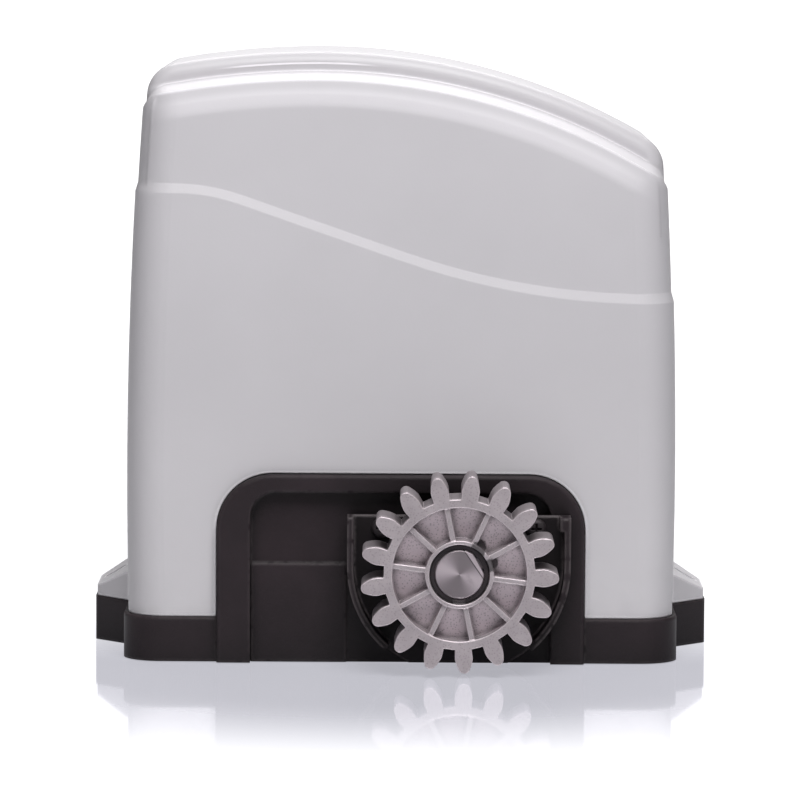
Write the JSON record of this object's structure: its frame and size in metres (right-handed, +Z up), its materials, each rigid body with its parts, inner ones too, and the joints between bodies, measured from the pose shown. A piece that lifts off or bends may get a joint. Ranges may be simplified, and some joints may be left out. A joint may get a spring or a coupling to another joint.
{
  "type": "sliding gate motor",
  "caption": "Floor-standing sliding gate opener: tall crested cover on a black base, toothed output pinion on the front, worm drive, clutch, control board and key release inside.",
  "frame": {"origin": "centre of the base's footprint on the floor", "axes": "+X to the right as seen from the gear side, +Y from the gear side to the back, +Z up"},
  "size_m": [0.244, 0.1885, 0.2364],
  "materials": {
    "cover_shell": "fine satin moulding",
    "black_plastic": "fine grained moulding",
    "pinion_metal": "die cast, bead blasted",
    "steel": "turned or ground",
    "zinc_fastener": "bright zinc plated",
    "casting": "as cast, machined faces",
    "bronze": "machined",
    "lamination": "stacked sheet",
    "copper": "enamelled wire",
    "rubber": "moulded",
    "board_green": "solder mask",
    "component_dark": "moulded",
    "component_light": "moulded",
    "glass_tube": "clear tube",
    "lever_grey": "fine grained moulding",
    "lock_chrome": "polished"
  },
  "bodies": {
    "housing": {"cover": "cover_shell", "base_housing": "black_plastic", "gear_guard": "black_plastic", "release_housing": "black_plastic", "guard_screws": "zinc_fastener", "cover_screws": "zinc_fastener", "front_bearing_outer": "steel", "rear_bearing_outer": "steel", "worm_bearing_outer": "steel", "end_bearing_outer": "steel", "tail_bearing_outer": "steel", "shaft_seal": "rubber", "gearbox_body": "casting", "gearbox_bolts": "zinc_fastener", "gearbox_cover": "casting", "gearbox_cover_screws": "zinc_fastener", "worm_cap": "casting", "motor_front_shield": "casting", "motor_rear_shield": "casting", "stator_core": "lamination", "stator_windings": "copper", "motor_tie_bolts": "zinc_fastener", "lever_pin": "steel", "board_carrier": "component_light", "carrier_screws": "zinc_fastener", "control_board": "board_green", "board_screws": "zinc_fastener", "transformer": "component_dark", "relays": "component_light", "terminal_block": "component_dark", "fuse": "glass_tube", "button_base": "component_dark", "capacitor": "component_light", "capacitor_clip": "component_light", "limit_sensor": "component_dark", "cable_grommet": "rubber"},
    "rotor": {"worm_shaft": "steel", "rotor_core": "lamination", "rotor_cage": "casting", "worm_bearing_inner": "steel", "end_bearing_inner": "steel", "tail_bearing_inner": "steel"},
    "output": {"output_shaft": "steel", "drive_pinion": "pinion_metal", "pinion_retaining_rings": "steel", "front_bearing_inner": "steel", "rear_bearing_inner": "steel", "clutch_spring": "steel"},
    "wheel": {"worm_wheel": "bronze", "wheel_bush": "bronze"},
    "clutch": {"clutch_sleeve": "steel", "clutch_pin": "steel", "push_rod": "steel"},
    "lever": {"release_lever": "lever_grey"},
    "lock": {"lock_cylinder": "lock_chrome"},
    "button": {"learn_button": "component_light"}
  },
  "joints": [
    {"name": "rotor_turn", "type": "hinge", "parent": "housing", "child": "rotor", "pos_m": [0, -0.018, 0.0785], "axis": [1, 0, 0], "continuous": true},
    {"name": "wheel_turn", "type": "hinge", "parent": "housing", "child": "wheel", "pos_m": [0.0225, 0, 0.0395], "axis": [0, 1, 0], "continuous": true},
    {"name": "output_turn", "type": "hinge", "parent": "housing", "child": "output", "pos_m": [0.0225, 0, 0.0395], "axis": [0, 1, 0], "continuous": true},
    {"name": "clutch_slide", "type": "slide", "parent": "output", "child": "clutch", "axis": [0, -1, 0], "range_m": [0, 0.004], "deforming": ["clutch_spring"]},
    {"name": "release_turn", "type": "hinge", "parent": "housing", "child": "lever", "pos_m": [0.0225, 0.0665, 0.0395], "axis": [0, 0, 1], "range_deg": [0, 90]},
    {"name": "lock_turn", "type": "hinge", "parent": "lever", "child": "lock", "pos_m": [0.0475, 0.0705, 0.0395], "axis": [0, 1, 0], "range_deg": [0, 90]},
    {"name": "learn_press", "type": "slide", "parent": "housing", "child": "button", "axis": [0, -1, 0], "range_m": [0, 0.0004], "stiffness_N_per_m": 300}
  ],
  "couplings": [
    {"joint": "wheel_turn", "follows": "rotor_turn", "ratio": -0.033333},
    {"joint": "output_turn", "follows": "rotor_turn", "ratio": -0.033333},
    {"joint": "release_turn", "follows": "clutch_slide", "rad_per_m": 392.69}
  ]
}
